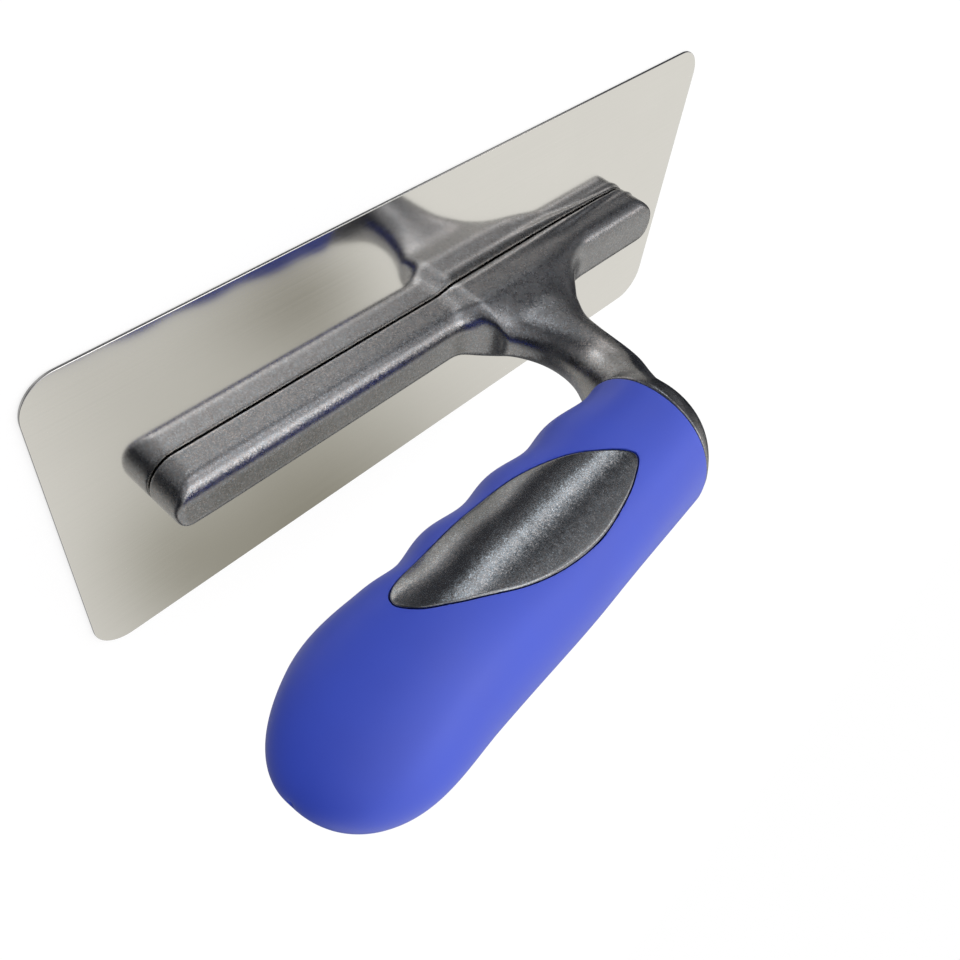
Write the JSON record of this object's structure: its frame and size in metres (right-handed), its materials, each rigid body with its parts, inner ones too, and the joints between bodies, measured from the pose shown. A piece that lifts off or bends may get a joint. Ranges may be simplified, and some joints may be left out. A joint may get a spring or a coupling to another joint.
{
  "type": "finishing trowel",
  "caption": "Steel finishing trowel: thin flexible rectangular blade, cast shank along its back and a rounded two-material hand grip above it.",
  "frame": {"origin": "centre of the blade's flat working face (its underside)", "axes": "+Z from the blade towards the handle, +X along the blade towards the toe, where the neck stands, +Y across the blade"},
  "size_m": [0.2426, 0.1, 0.1055],
  "materials": {
    "blade_steel": "mirror-polished stainless steel",
    "stud_steel": "plain stainless steel",
    "gunmetal": "cast aluminium in a satin gunmetal coat with fine metallic flake",
    "gunmetal_inlay": "moulded plastic in the same satin gunmetal coat",
    "blue_rubber": "matte soft-touch blue",
    "core_plastic": "black moulded plastic",
    "zinc_plate": "bright zinc plate"
  },
  "bodies": {
    "root": {"blade": "blade_steel", "weld_stud_1": "stud_steel", "weld_stud_2": "stud_steel", "weld_stud_3": "stud_steel", "weld_stud_4": "stud_steel", "weld_stud_5": "stud_steel", "weld_stud_6": "stud_steel", "weld_stud_7": "stud_steel", "shank": "gunmetal", "inlay_near": "gunmetal_inlay", "inlay_far": "gunmetal_inlay", "grip": "blue_rubber", "handle_core": "core_plastic", "end_washer": "zinc_plate", "end_screw": "zinc_plate"}
  },
  "joints": []
}
